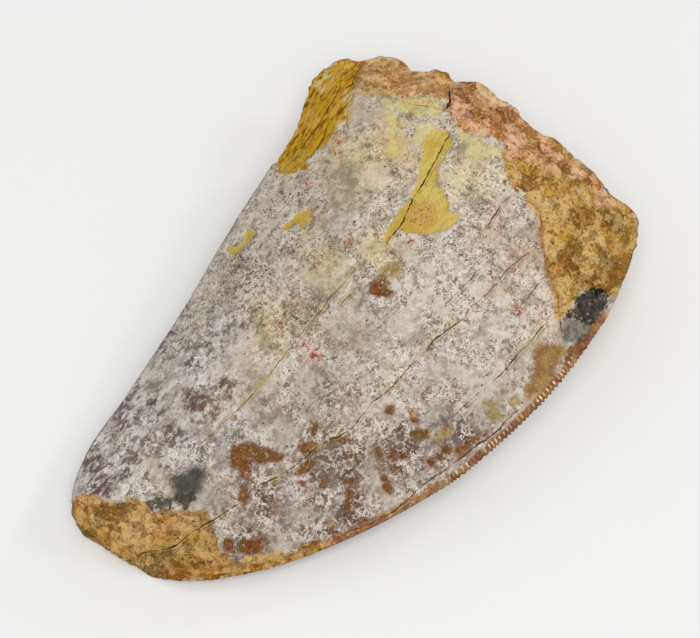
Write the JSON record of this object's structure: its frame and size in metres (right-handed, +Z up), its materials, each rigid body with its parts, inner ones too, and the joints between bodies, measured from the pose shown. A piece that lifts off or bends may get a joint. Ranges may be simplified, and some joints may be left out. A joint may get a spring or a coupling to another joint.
{
  "type": "fossil tooth crown",
  "caption": "Large flattened fossil theropod tooth crown with a serrated front edge, a worn tip and a broken base, lying on one face.",
  "frame": {"origin": "middle of the box of the crown's outline, on the plane that it rests on", "axes": "+X from the worn tip along the crown to the broken base, serrated front edge facing -Y, +Z up through the crown's thickness"},
  "size_m": [0.06, 0.0414, 0.0151],
  "materials": {
    "fossil_enamel": "satin"
  },
  "bodies": {
    "root": {"tooth": "fossil_enamel"}
  },
  "joints": []
}
